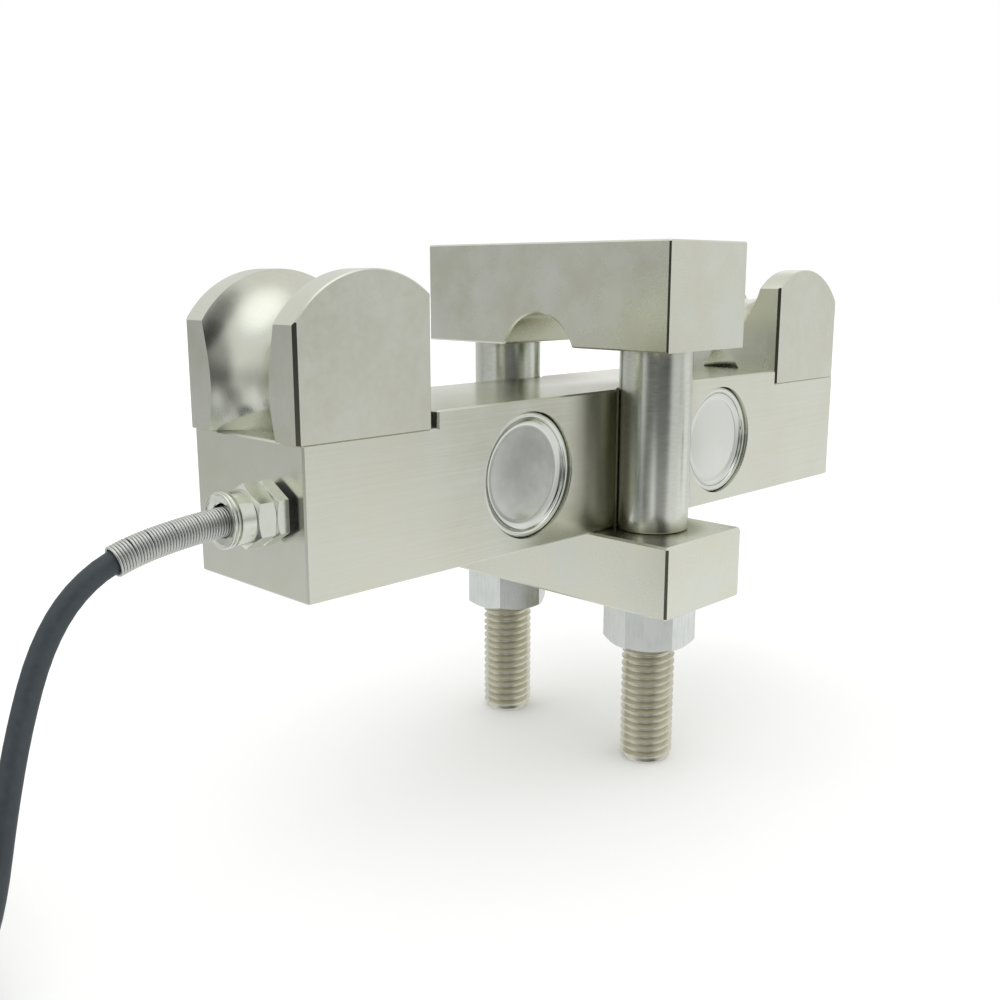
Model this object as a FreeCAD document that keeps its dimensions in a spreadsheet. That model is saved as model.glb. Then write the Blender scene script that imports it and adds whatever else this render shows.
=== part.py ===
import FreeCAD, Part
import math
import os
import re
import Sketcher

# Tension load cell for a wire rope: a beam with a grooved saddle at each end, and a clamp frame that
# presses the rope down between them. Origin on the axis of the clamp block's rope groove, +X along the
# beam away from the cable gland, +Y towards the far side, +Z up. Millimetres.

# Each size that can be set by itself. Heights of the pieces follow from the rods' shoulders.
SIZES = {
    "beam_length": 180,
    "beam_width": 34,
    "beam_height": 31,
    "seat_length": 30.5,
    "seat_depth": 3.3,
    "edge_break": 0.35,
    "cover_spacing": 68.8,
    "cover_radius": 13,
    "cover_fit": 0.1,
    "cover_recess": 0.7,
    "cover_sheet": 0.6,
    "cover_bead": 0.75,
    "cover_skirt": 2.3,
    "cover_dish_radius": 10.3,
    "cover_dish_depth": 1.25,
    "pocket_radius": 11.2,
    "web_thickness": 4,
    "web_hole_radius": 1.5,
    "web_hole_offset": 7.5,
    "channel_radius": 2.2,
    "saddle_length": 30.2,
    "saddle_radius": 20.5,
    "saddle_outer_reach": 17.1,
    "saddle_axis_height": 8.5,
    "saddle_groove_radius": 11.8,
    "saddle_groove_bottom": 12.7,
    "saddle_edge_break": 0.6,
    "saddle_rim_break": 0.25,
    "saddle_gap_left": 1.2,
    "saddle_gap_right": 0.3,
    "screw_radius": 2.5,
    "screw_bite": 7.7,
    "screw_head_radius": 4.25,
    "screw_head_height": 5,
    "screw_socket_radius": 2.3,
    "screw_socket_depth": 2.5,
    "screw_spacing": 13,
    "screw_clearance": 0.25,
    "screw_sink": 5.4,
    "tap_depth": 9.5,
    "rod_spacing": 45,
    "rod_radius": 8,
    "rod_length": 40,
    "rod_edge_break": 0.5,
    "thread_radius": 6,
    "thread_fit": 0.05,
    "spigot_length": 16,
    "stud_length": 54.7,
    "stud_point": 1.2,
    "notch_clearance": 0.6,
    "block_width": 28,
    "block_length": 71,
    "block_height": 22.5,
    "groove_radius": 10.5,
    "groove_drop": 3.3,
    "mouth_round": 0.9,
    "block_edge_break": 0.35,
    "blind_extra": 2,
    "bar_width": 28,
    "bar_length": 74,
    "bar_height": 16,
    "bar_edge_break": 0.5,
    "bar_hole_clearance": 0.5,
    "nut_flats": 18,
    "nut_height": 10.8,
    "nut_face_radius": 8.5,
    "nut_turn_front": 6.3,
    "nut_turn_rear": 33.5,
    "gland_offset": 8.9,
    "gland_flats": 10,
    "gland_face_radius": 4.85,
    "gland_thread_radius": 4,
    "gland_thread_length": 8,
    "gland_thread_fit": 0.05,
    "gland_bore_depth": 9,
    "gland_bore_radius": 2.2,
    "seal_radius": 4.85,
    "seal_thickness": 1,
    "gland_flange": 2.4,
    "neck_radius": 3.75,
    "neck_length": 3,
    "grommet_radius": 3.05,
    "grommet_seat_fit": 0.05,
    "grommet_seat_start": 0.8,
    "grommet_length": 3.6,
    "nut_gap": 0.1,
    "cap_hex_length": 3.6,
    "cap_radius": 4.7,
    "cap_barrel_length": 2.9,
    "cap_relief": 0.35,
    "cap_relief_length": 0.25,
    "cap_lip": 1.3,
    "cap_lip_radius": 4.85,
    "cap_mouth_radius": 4.3,
    "cap_mouth_depth": 0.7,
    "spring_radius": 2.6,
    "spring_wire": 0.5,
    "spring_fit": 0.3,
    "spring_collar_radius": 3.4,
    "spring_length": 23.2,
    "spring_gap": 0.05,
    "cable_radius": 1.9,
    "cable_fit": 0.03,
    "cable_start": 2.6,
    "coil_radius": 22.8,
    "coil_turns_across": 5,
    "coil_turns_high": 4,
    "coil_clearance": 0.3,
    "tie_thickness": 0.8,
    "tie_width": 5,
    "tie_fit": 0.1,
    "end_sleeve_radius": 2.2,
    "end_sleeve_length": 8,
    "sleeve_offset": 4,
    "lead_radius": 0.6,
    "lead_length": 11,
    "gauge_length": 9,
    "gauge_height": 6,
    "gauge_thickness": 0.3,
    "board_length": 9,
    "board_height": 5,
    "board_thickness": 1,
    "board_drop": 6.5,
    "wire_radius": 0.35,
}

# The cable's route from inside the gland down to the lowest turn of its coil, chosen by hand from the
# photograph. cable_points moves it when a size changes.
CABLE_ROUTE = [
    (-92.6, -8.9, -21.2),
    (-102.0, -8.9, -21.2),
    (-118.6, -8.9, -23.5),
    (-126.9, -8.9, -28.0),
    (-132.7, -9.1, -35.6),
    (-137.1, -9.8, -46.7),
    (-140.8, -11.0, -58.7),
    (-143.8, -12.0, -71.1),
    (-145.4, -7.4, -82.1),
    (-145.6, 3.0, -88.7),
    (-145.6, 15.4, -88.7),
]
# The run of an arc beside its corner, as a share of the shorter run
ARC_SHARE = 0.45
SMALLEST_BEND = 4

doc = FreeCAD.newDocument("TensionLoadCell")
sheet = doc.addObject("Spreadsheet::Sheet", "Sizes")
for row, (alias, value) in enumerate(SIZES.items(), 1):
    sheet.set(f"A{row}", str(value))
    sheet.setAlias(f"A{row}", alias)
doc.recompute()

parts = {}


def formula(text):
    """The text with the sheet's name before each alias."""
    def named(word):
        return "Sizes." + word.group() if word.group() in SIZES else word.group()
    return re.sub(r"[a-z_]{4,}", named, str(text))


def number(text):
    return float(sheet.evalExpression(formula(text)))


def bind(thing, **formulas):
    for name, text in formulas.items():
        thing.setExpression(name.replace("__", "."), formula(text))
    return thing


def above(text):
    """A height over the beam's underside, as a height in the part's frame."""
    return f"{text} - (rod_length - groove_drop)"


def place(thing, along="0", across="0", up="0", turn=None):
    """Turns a piece about an (axis, degrees) pair, then moves it."""
    if turn:
        axis, angle = turn
        thing.Placement = FreeCAD.Placement(FreeCAD.Vector(), FreeCAD.Rotation(FreeCAD.Vector(*axis), angle))
    return bind(thing, Placement__Base__x=along, Placement__Base__y=across, Placement__Base__z=up)


def kept(name, thing):
    thing.Label = name
    parts[name] = thing
    return thing


def body(name):
    made = doc.addObject("PartDesign::Body", name)
    return kept(name, made)


def sketch_on(owner, plane, name, offset="0"):
    sketch = owner.newObject("Sketcher::SketchObject", name)
    support = [piece for piece in owner.Origin.OriginFeatures if piece.Role == plane][0]
    sketch.AttachmentSupport = (support, [""])
    sketch.MapMode = "FlatFace"
    bind(sketch, AttachmentOffset__Base__z=offset)
    return sketch


def outline(owner, plane, name, corners):
    """A closed sketch of straight runs through the corners."""
    sketch = sketch_on(owner, plane, name)
    points = [FreeCAD.Vector(number(x), number(y), 0) for x, y in corners]
    for start, end in zip(points, points[1:] + points[:1]):
        sketch.addGeometry(Part.LineSegment(start, end), False)
    for index, (x, y) in enumerate(corners):
        after = (index + 1) % len(corners)
        sketch.addConstraint(Sketcher.Constraint("Coincident", index, 2, after, 1))
        fix(sketch, Sketcher.Constraint("DistanceX", -1, 1, index, 1, number(x)), x)
        fix(sketch, Sketcher.Constraint("DistanceY", -1, 1, index, 1, number(y)), y)
    return sketch


def fix(sketch, constraint, text):
    index = sketch.addConstraint(constraint)
    sketch.setExpression(f"Constraints[{index}]", formula(text))


def circles(owner, plane, name, centres, radius, offset="0"):
    sketch = sketch_on(owner, plane, name, offset)
    for x, y in centres:
        centre = FreeCAD.Vector(number(x), number(y), 0)
        ring = sketch.addGeometry(Part.Circle(centre, FreeCAD.Vector(0, 0, 1), number(radius)), False)
        fix(sketch, Sketcher.Constraint("Radius", ring, number(radius)), radius)
        fix(sketch, Sketcher.Constraint("DistanceX", -1, 1, ring, 3, number(x)), x)
        fix(sketch, Sketcher.Constraint("DistanceY", -1, 1, ring, 3, number(y)), y)
    return sketch


def pad(owner, sketch, length, middle=False):
    made = owner.newObject("PartDesign::Pad", sketch.Name + "_pad")
    made.Profile = sketch
    made.Midplane = middle
    bind(made, Length=length)
    doc.recompute()
    return made


def pocket(owner, sketch, length, reverse=False, middle=False):
    before = owner.Shape.Volume
    made = owner.newObject("PartDesign::Pocket", sketch.Name + "_pocket")
    made.Profile = sketch
    made.Reversed = reverse
    made.Midplane = middle
    bind(made, Length=length)
    doc.recompute()
    if not owner.Shape.Volume < before:
        raise ValueError(f"{made.Name} cuts nothing")
    return made


def revolve(owner, sketch, axis):
    made = owner.newObject("PartDesign::Revolution", sketch.Name + "_turned")
    made.Profile = sketch
    made.ReferenceAxis = (sketch, [axis])
    made.Angle = 360
    doc.recompute()
    return made


def edges_where(shape, chosen):
    """Names of the edges whose bounding box passes the test."""
    return [f"Edge{index}" for index, edge in enumerate(shape.Edges, 1) if chosen(edge.BoundBox, edge)]


def ease(owner, kind, size, chosen):
    """A PartDesign chamfer or fillet on the chosen edges of the body."""
    base = owner.Tip
    names = edges_where(base.Shape, chosen)
    if not names:
        raise ValueError(f"no edge to ease on {owner.Label}")
    made = owner.newObject("PartDesign::" + kind, f"{owner.Name}_{kind.lower()}")
    made.Base = (base, names)
    bind(made, **{"Radius" if kind == "Fillet" else "Size": size})
    doc.recompute()
    return made


def near(value, text):
    return abs(value - number(text)) < 1e-4


def flat(box, side, text):
    """True if the box lies in the plane side = text."""
    low, high = getattr(box, side + "Min"), getattr(box, side + "Max")
    return near(low, text) and near(high, text)


def primitive(kind, name, **formulas):
    return bind(doc.addObject("Part::" + kind, name), **formulas)


def cut(name, base, tool):
    made = doc.addObject("Part::Cut", name)
    made.Base, made.Tool = base, tool
    return made


def joined(name, kind, *pieces):
    made = doc.addObject("Part::" + kind, name)
    made.Shapes = list(pieces)
    return made


def load_beam():
    """One milled bar: two seats, four gauge pockets round two webs, rod notches, wire channel, screw holes."""
    beam = body("load_beam")
    place(beam, up=above("0"))
    end, shoulder = "beam_length / 2", "(beam_length / 2 - seat_length)"
    seat = "(beam_height - seat_depth)"
    profile = outline(beam, "XZ_Plane", "side_profile", [
        (f"-{end}", "0"), (end, "0"), (end, seat), (shoulder, seat),
        (shoulder, "beam_height"), (f"-{shoulder}", "beam_height"), (f"-{shoulder}", seat), (f"-{end}", seat),
    ])
    pad(beam, profile, "beam_width", middle=True)

    def outer(box, edge):
        inner_corner = near(abs(box.Center.x), shoulder) and near(box.Center.z, seat)
        return not inner_corner
    ease(beam, "Chamfer", "edge_break", outer)

    middle = "beam_height / 2"
    centres = [("-cover_spacing / 2", middle), ("cover_spacing / 2", middle)]
    web_holes = [(f"{x} + web_hole_offset", middle) for x, middle in centres]
    depth = "cover_recess + cover_skirt"
    for side, reverse in (("", False), ("-", True)):
        word = "rear" if reverse else "front"
        face = f"{side}beam_width / 2"
        sink = circles(beam, "XZ_Plane", f"cover_seat_{word}", centres, "cover_radius + cover_fit", face)
        pocket(beam, sink, depth, reverse)
        hollow = circles(beam, "XZ_Plane", f"gauge_pocket_{word}", centres, "pocket_radius", face)
        pocket(beam, hollow, "(beam_width - web_thickness) / 2", reverse)
    through = circles(beam, "XZ_Plane", "web_holes", web_holes, "web_hole_radius")
    pocket(beam, through, "web_thickness * 2", middle=True)

    rods = [("0", "-rod_spacing / 2"), ("0", "rod_spacing / 2")]
    notches = circles(beam, "XY_Plane", "rod_notches", rods, "rod_radius + notch_clearance")
    pocket(beam, notches, "beam_height", reverse=True)
    axis = [("-gland_offset", middle)]
    channel = circles(beam, "YZ_Plane", "wire_channel", axis, "channel_radius", f"-{end}")
    pocket(beam, channel, f"{end} + cover_spacing / 2", reverse=True)
    tapped = circles(beam, "YZ_Plane", "gland_bore", axis, "gland_thread_radius + gland_thread_fit", f"-{end}")
    pocket(beam, tapped, "gland_bore_depth", reverse=True)

    screws = [(x, "0") for side in (-1, 1) for x in screw_places(side)]
    clear = circles(beam, "XY_Plane", "screw_holes", screws, "screw_radius + screw_clearance")
    pocket(beam, clear, "beam_height", reverse=True)
    sinks = circles(beam, "XY_Plane", "screw_sinks", screws, "screw_head_radius + screw_clearance")
    pocket(beam, sinks, "screw_sink", reverse=True)


def saddle_axis(side):
    """Where a saddle's turning axis lies along the beam; side is -1 at the gland's end, 1 at the other."""
    gap = "saddle_gap_left" if side < 0 else "saddle_gap_right"
    return f"{side} * (beam_length / 2 - seat_length + {gap} + saddle_length - saddle_outer_reach)"


def screw_places(side):
    """The screws of a saddle stand on both sides of its axis."""
    return [f"{saddle_axis(side)} + {step} * screw_spacing / 2" for step in (-1, 1)]


def saddle(name, side):
    """A turned, waisted wheel with its rope groove, milled flat at both ends and at its base."""
    lay_down = ((1, 0, 0), -90)
    wheel = primitive("Cylinder", name + "_wheel", Radius="saddle_radius", Height="beam_width")
    place(wheel, across="-beam_width / 2", turn=lay_down)
    ring = primitive("Torus", name + "_rope_ring", Radius1="saddle_groove_bottom + saddle_groove_radius",
                     Radius2="saddle_groove_radius")
    place(ring, turn=lay_down)
    waisted = cut(name + "_waisted", wheel, ring)
    inner_reach = "(saddle_length - saddle_outer_reach)"
    low = f"-{inner_reach}" if side > 0 else "-saddle_outer_reach"
    slab = primitive("Box", name + "_slab", Length="saddle_length", Width="beam_width",
                     Height="saddle_axis_height + saddle_radius + 1")
    place(slab, along=low, across="-beam_width / 2", up="-saddle_axis_height")
    flats = joined(name + "_flats", "MultiCommon", waisted, slab)
    taps = []
    for step in (-1, 1):
        tap = primitive("Cylinder", f"{name}_tap_{'in' if step < 0 else 'out'}",
                        Radius="screw_radius + thread_fit", Height="tap_depth")
        taps.append(place(tap, along=f"{step} * screw_spacing / 2", up="-saddle_axis_height"))
    tapped = cut(name + "_tapped", flats, joined(name + "_taps", "MultiFuse", *taps))
    doc.recompute()

    def on_side(box):
        return flat(box, "Y", "beam_width / 2") or flat(box, "Y", "-beam_width / 2")

    def upright(box, edge):
        return on_side(box) and box.XLength < 1e-4

    def rim(box, edge):
        return on_side(box) and box.XLength > 1e-4 and not flat(box, "Z", "-saddle_axis_height")
    eased = doc.addObject("Part::Chamfer", name)
    eased.Base = tapped
    sizes = ((upright, number("saddle_edge_break")), (rim, number("saddle_rim_break")))
    eased.Edges = [(int(edge[4:]), size, size)
                   for chosen, size in sizes for edge in edges_where(tapped.Shape, chosen)]
    kept(name, eased)
    place(eased, along=saddle_axis(side), up=above("(beam_height - seat_depth + saddle_axis_height)"))


def saddle_screws(name, side):
    """Two socket head screws from the beam's underside into a saddle."""
    screws = []
    for step, along in zip(("in", "out"), screw_places(side)):
        head = primitive("Cylinder", f"{name}_head_{step}", Radius="screw_head_radius",
                         Height="screw_head_height")
        place(head, up="-screw_head_height")
        shank = primitive("Cylinder", f"{name}_shank_{step}", Radius="screw_radius",
                          Height="beam_height - seat_depth - screw_sink + screw_bite")
        solid = joined(f"{name}_blank_{step}", "MultiFuse", head, shank)
        socket = primitive("Prism", f"{name}_socket_{step}", Circumradius="screw_socket_radius",
                           Height="screw_socket_depth")
        socket.Polygon = 6
        place(socket, up="-screw_head_height")
        screw = cut(f"{name}_{step}", solid, socket)
        screws.append(place(screw, along=along, up=above("screw_sink")))
    group = doc.addObject("Part::Compound", name)
    group.Links = screws
    kept(name, group)


def clamp_block():
    """The block over the rope: half-round groove with a rounded mouth, two blind tapped holes."""
    block = body("clamp_block")
    place(block, up="groove_drop")
    side, end = "block_width / 2", "block_length / 2"
    plan = outline(block, "XY_Plane", "block_plan",
                   [(f"-{side}", f"-{end}"), (side, f"-{end}"), (side, end), (f"-{side}", end)])
    pad(block, plan, "block_height")
    groove = circles(block, "YZ_Plane", "rope_groove", [("0", "-groove_drop")], "groove_radius")
    pocket(block, groove, "block_width * 2", middle=True)

    def mouth(box, edge):
        half = math.sqrt(number("groove_radius") ** 2 - number("groove_drop") ** 2)
        return flat(box, "Z", "0") and abs(abs(box.Center.y) - half) < 1e-4 and box.YLength < 1e-4
    ease(block, "Fillet", "mouth_round", mouth)

    def rest(box, edge):
        on_end = flat(box, "X", side) or flat(box, "X", f"-{side}")
        upright = box.ZLength > number("block_height / 2")
        return on_end or flat(box, "Z", "block_height") or upright
    ease(block, "Chamfer", "block_edge_break", rest)
    rods = [("0", "-rod_spacing / 2"), ("0", "rod_spacing / 2")]
    taps = circles(block, "XY_Plane", "rod_taps", rods, "thread_radius + thread_fit")
    pocket(block, taps, "spigot_length + blind_extra", reverse=True)


def clamp_rod(name, side):
    """A turned rod: threaded spigot above its shoulders, threaded stud below."""
    rod = body(name)
    place(rod, across=f"{side} * rod_spacing / 2", up=above("0"))
    thread, point = "thread_radius", "stud_point"
    broken = "rod_radius - rod_edge_break"
    profile = outline(rod, "XZ_Plane", name + "_profile", [
        ("0", "-stud_length"), (f"{thread} - {point}", "-stud_length"), (thread, f"{point} - stud_length"),
        (thread, "0"), (broken, "0"), ("rod_radius", "rod_edge_break"),
        ("rod_radius", "rod_length - rod_edge_break"), (broken, "rod_length"), (thread, "rod_length"),
        (thread, f"rod_length + spigot_length - {point}"), (f"{thread} - {point}", "rod_length + spigot_length"),
        ("0", "rod_length + spigot_length"),
    ])
    revolve(rod, profile, "V_Axis")


def clamp_bar():
    """The bar under the beam, with a clearance hole for each stud."""
    bar = body("clamp_bar")
    place(bar, up=above("-bar_height"))
    side, end = "bar_width / 2", "bar_length / 2"
    plan = outline(bar, "XY_Plane", "bar_plan",
                   [(f"-{side}", f"-{end}"), (side, f"-{end}"), (side, end), (f"-{side}", end)])
    pad(bar, plan, "bar_height")
    ease(bar, "Chamfer", "bar_edge_break", lambda box, edge: True)
    rods = [("0", "-rod_spacing / 2"), ("0", "rod_spacing / 2")]
    holes = circles(bar, "XY_Plane", "stud_holes", rods, "thread_radius + bar_hole_clearance")
    pocket(bar, holes, "bar_height", reverse=True)


def hexagon(name, flats, height, face_radius, both=True):
    """A hexagonal prism whose corners are cut by a 30 degree cone at its top, or at both ends."""
    prism = primitive("Prism", name + "_prism", Circumradius=f"{flats} / sqrt(3)", Height=height)
    prism.Polygon = 6
    spread = f"{face_radius} + {height} * sqrt(3)"
    top = primitive("Cone", name + "_top_cone", Radius1=spread, Radius2=face_radius, Height=height)
    shapes = [prism, top]
    if both:
        shapes.append(primitive("Cone", name + "_low_cone", Radius1=face_radius, Radius2=spread, Height=height))
    return joined(name + "_hex", "MultiCommon", *shapes)


def hex_nut(name, side, turn):
    blank = hexagon(name, "nut_flats", "nut_height", "nut_face_radius")
    bore = primitive("Cylinder", name + "_bore", Radius="thread_radius + thread_fit", Height="nut_height")
    nut = kept(name, cut(name, blank, bore))
    place(nut, across=f"{side} * rod_spacing / 2", up=above("(-bar_height - nut_height)"),
          turn=((0, 0, 1), number(turn)))


def gauge_cover(name, along, side):
    """A pressed cover: skirt, raised rim, sloping wall and a flat dish, all of one sheet."""
    cover = body(name)
    bead, gauge, depth, dish = "cover_bead", "cover_sheet", "cover_dish_depth", "cover_dish_radius"
    rim = "(cover_radius - cover_bead)"
    skirt = "(cover_radius - cover_sheet)"
    profile = outline(cover, "XZ_Plane", name + "_profile", [
        ("0", f"-{depth}"), (dish, f"-{depth}"),
        (f"{rim} - {bead}", f"-{bead}"), (f"{rim} - 0.7 * {bead}", f"-0.29 * {bead}"),
        (f"{rim} - 0.25 * {bead}", "0"), (f"{rim} + 0.25 * {bead}", "0"),
        (f"{rim} + 0.7 * {bead}", f"-0.29 * {bead}"), ("cover_radius", f"-{bead}"),
        ("cover_radius", "-cover_skirt"), (skirt, "-cover_skirt"), (skirt, f"-{bead}"), (rim, f"-{gauge}"),
        (f"{dish} + 0.4 * {gauge}", f"-{depth} - {gauge}"), ("0", f"-{depth} - {gauge}"),
    ])
    revolve(cover, profile, "V_Axis")
    place(cover, along=f"{along} * cover_spacing / 2", across=f"{side} * (beam_width / 2 - cover_recess)",
          up=above("beam_height / 2"), turn=((1, 0, 0), -90 * side))


def strain_gauge(name, along, side):
    """A foil gauge on the outer face of a web."""
    gauge = primitive("Box", name, Length="gauge_length", Width="gauge_thickness", Height="gauge_height")
    near_face = "web_thickness / 2" if side > 0 else "(-web_thickness / 2 - gauge_thickness)"
    place(gauge, along=f"{along} * cover_spacing / 2 - gauge_length / 2", across=near_face,
          up=above("(beam_height - gauge_height) / 2"))
    kept(name, gauge)


def terminal_board():
    """The small bridge board under the gauge in the gland-side pocket."""
    board = primitive("Box", "terminal_board", Length="board_length", Width="board_thickness",
                      Height="board_height")
    place(board, along="-cover_spacing / 2 - board_length / 2", across="-web_thickness / 2 - board_thickness",
          up=above("(beam_height / 2 - board_drop - board_height / 2)"))
    kept("terminal_board", board)


def tube(path, radius):
    """A round tube along a path."""
    first = path.OrderedEdges[0]
    section = Part.Circle(first.valueAt(first.FirstParameter), first.tangentAt(first.FirstParameter), radius)
    return path.makePipeShell([Part.Wire([section.toShape()])], True, False)


def rounded_path(points):
    """Straight runs with the largest tangent arcs that both runs of a corner leave room for."""
    edges = []
    here = points[0]
    for before, corner, after in zip(points, points[1:], points[2:]):
        back, on = (before - corner), (after - corner)
        reach = ARC_SHARE * min(back.Length, on.Length)
        start = corner + FreeCAD.Vector(back).normalize() * reach
        end = corner + FreeCAD.Vector(on).normalize() * reach
        inward = FreeCAD.Vector(back).normalize() + FreeCAD.Vector(on).normalize()
        half = back.getAngle(on) / 2
        radius = reach * math.tan(half)
        centre = corner + inward.normalize() * (reach / math.cos(half))
        middle = centre + (corner - centre).normalize() * radius
        edges.append(Part.LineSegment(here, start).toShape())
        edges.append(Part.Arc(start, middle, end).toShape())
        here = end
    edges.append(Part.LineSegment(here, points[-1]).toShape())
    return Part.Wire(edges)


def bend_radii(points):
    radii = []
    for before, corner, after in zip(points, points[1:], points[2:]):
        back, on = (before - corner), (after - corner)
        radii.append(ARC_SHARE * min(back.Length, on.Length) * math.tan(back.getAngle(on) / 2))
    return radii


def shaped(name, shape):
    """A piece whose shape comes from a path, which no primitive gives."""
    made = doc.addObject("Part::Feature", name)
    made.Shape = shape
    return kept(name, made)


def bridge_wires():
    """The four conductors from the cable's end through the channel to the board's edge."""
    radius = number("wire_radius")
    start = number("-beam_length / 2 - cable_start")
    end = number("-cover_spacing / 2 - board_length / 2 - 1.1 * wire_radius")
    height = number(above("beam_height / 2"))
    board = number(above("(beam_height / 2 - board_drop)"))
    across = number("-gland_offset")
    face = number("-web_thickness / 2 - board_thickness / 2")
    step = 3.3 * radius
    pocket_edge = number("-cover_spacing / 2 - pocket_radius")
    wires = []
    for index in range(4):
        spread_y, spread_z = (index % 2 - 0.5) * step, (index // 2 - 0.5) * step
        lane = board + (index - 1.5) * step
        points = [
            FreeCAD.Vector(start, across + spread_y, height + spread_z),
            FreeCAD.Vector(pocket_edge + 1.5, across + spread_y, height + spread_z),
            FreeCAD.Vector(end, face, lane),
        ]
        wires.append(tube(rounded_path(points), radius))
    shaped("bridge_wires", Part.makeCompound(wires))


def on_gland(thing, start, turn=-90):
    """Lays a piece made along +Z on the gland's axis, start millimetres out from the beam's end."""
    return place(thing, along=f"-beam_length / 2 - ({start})", across="-gland_offset",
                 up=above("beam_height / 2"), turn=((0, 1, 0), turn))


def gland():
    """Seal, hexagonal body with its bored neck, grommet, and the compression cap with a rolled lip."""
    ring = primitive("Cylinder", "seal_disc", Radius="seal_radius", Height="seal_thickness")
    hole = primitive("Cylinder", "seal_hole", Radius="gland_thread_radius + gland_thread_fit",
                     Height="seal_thickness")
    on_gland(kept("gland_seal", cut("gland_seal", ring, hole)), "0")

    flange = hexagon("gland_flange", "gland_flats", "gland_flange", "gland_face_radius", both=False)
    root = "(-gland_thread_length - seal_thickness)"
    thread = primitive("Cylinder", "gland_thread", Radius="gland_thread_radius",
                       Height="gland_thread_length + seal_thickness")
    place(thread, up=root)
    neck = primitive("Cylinder", "gland_neck", Radius="neck_radius", Height="gland_flange + neck_length")
    blank = joined("gland_blank", "MultiFuse", flange, thread, neck)
    bore = primitive("Cylinder", "gland_wire_bore", Radius="gland_bore_radius",
                     Height="gland_thread_length + seal_thickness + grommet_seat_start")
    place(bore, up=root)
    seat = primitive("Cylinder", "grommet_seat", Radius="grommet_radius + grommet_seat_fit",
                     Height="gland_flange + neck_length")
    place(seat, up="grommet_seat_start")
    hollow = joined("gland_hollow", "MultiFuse", bore, seat)
    on_gland(kept("gland_body", cut("gland_body", blank, hollow)), "seal_thickness")

    grommet = primitive("Cylinder", "grommet_blank", Radius="grommet_radius", Height="grommet_length")
    grip = primitive("Cylinder", "grommet_hole", Radius="cable_radius + cable_fit", Height="grommet_length")
    on_gland(kept("gland_grommet", cut("gland_grommet", grommet, grip)), "seal_thickness + grommet_seat_start")


def gland_cap():
    """The cap: hexagon, barrel, relief groove and rolled lip round a flared mouth."""
    cap_hex = hexagon("cap", "gland_flats", "cap_hex_length", "gland_face_radius")
    turned = body("cap_turned")
    del parts["cap_turned"]
    barrel = "(cap_hex_length + cap_barrel_length)"
    lip = f"({barrel} + cap_relief_length)"
    end = f"({lip} + cap_lip)"
    neck, bore = "(cap_radius - cap_relief)", "(spring_radius + spring_fit)"
    half = "(cap_lip_radius - cap_mouth_radius) / 2"
    profile = outline(turned, "XZ_Plane", "cap_profile", [
        (bore, "neck_length"), ("cap_radius", "neck_length"), ("cap_radius", barrel),
        (neck, barrel), (neck, lip), ("cap_lip_radius", f"{lip} + cap_relief"),
        ("cap_lip_radius", f"{end} - {half}"), (f"cap_lip_radius - 0.29 * {half}", f"{end} - 0.29 * {half}"),
        (f"cap_mouth_radius + {half}", end), (f"cap_mouth_radius + 0.29 * {half}", f"{end} - 0.29 * {half}"),
        ("cap_mouth_radius", f"{end} - {half}"), (bore, f"{end} - cap_mouth_depth"),
    ])
    revolve(turned, profile, "V_Axis")
    blank = joined("cap_blank", "MultiFuse", cap_hex, turned)
    thread = primitive("Cylinder", "cap_thread", Radius="neck_radius + thread_fit",
                       Height="neck_length + spring_wire - nut_gap + spring_gap")
    through = primitive("Cylinder", "cap_through", Radius=bore, Height=f"{end} - cap_mouth_depth")
    made = cut("gland_nut", blank, joined("cap_hollow", "MultiFuse", thread, through))
    on_gland(kept("gland_nut", made), "seal_thickness + gland_flange + nut_gap")


def coil_low():
    """The coil stands on the floor under the studs' ends, on its tie."""
    return above("(tie_thickness - stud_length)")


def cable_points():
    """The route, moved with the gland when a size changes, its middle stretched down to the coil."""
    first, last = CABLE_ROUTE[0], CABLE_ROUTE[-1]
    start = FreeCAD.Vector(number("-beam_length / 2 - cable_start"), number("-gland_offset"),
                           number(above("beam_height / 2")))
    drop = last[2] - first[2]
    longer = number(f"{coil_low()} + cable_radius") - start.z - drop
    points = []
    for x, y, z in CABLE_ROUTE:
        share = (z - first[2]) / drop
        eased = share ** 2 * (3 - 2 * share)
        points.append(start + FreeCAD.Vector(x - first[0], y - first[1], z - first[2] + longer * eased))
    return points


def stretch_of(path, start, length):
    """The stretch of a path that begins start millimetres along it."""
    pieces = []
    passed = 0
    for edge in path.OrderedEdges:
        low, high = max(start - passed, 0), min(start + length - passed, edge.Length)
        if high > low:
            ends = [edge.getParameterByLength(place) for place in (low, high)]
            pieces.append(edge.Curve.toShape(*ends))
        passed += edge.Length
    return Part.Wire(pieces)


def cord_pieces():
    """The cable's free stretch, and the bend spring round its first part."""
    points = cable_points()
    path = rounded_path(points)
    cable = tube(path, number("cable_radius"))
    radii = bend_radii(points)
    print("cable bends, mm:", [round(radius, 1) for radius in radii])
    print("cable run, mm:", round(path.Length, 1))
    expected = path.Length * math.pi * number("cable_radius") ** 2
    if abs(cable.Volume / expected - 1) > 0.002:
        raise ValueError("the cable's tube isn't its section times its length")
    if min(radii) < SMALLEST_BEND * 2 * number("cable_radius"):
        raise ValueError("a bend of the cable is too tight")
    shaped("cable", cable)

    start = number("seal_thickness + gland_flange + neck_length + spring_gap - cable_start")
    sleeve = stretch_of(path, start, number("spring_length"))
    hollow = tube(sleeve, number("spring_radius - spring_wire"))
    collar = Part.makeCylinder(number("spring_collar_radius"), number("spring_wire * 0.6"),
                               points[0] - FreeCAD.Vector(start, 0, 0), FreeCAD.Vector(-1, 0, 0))
    outer = tube(sleeve, number("spring_radius")).fuse(collar)
    shaped("bend_spring", outer.cut(hollow).removeSplitter())


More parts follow.
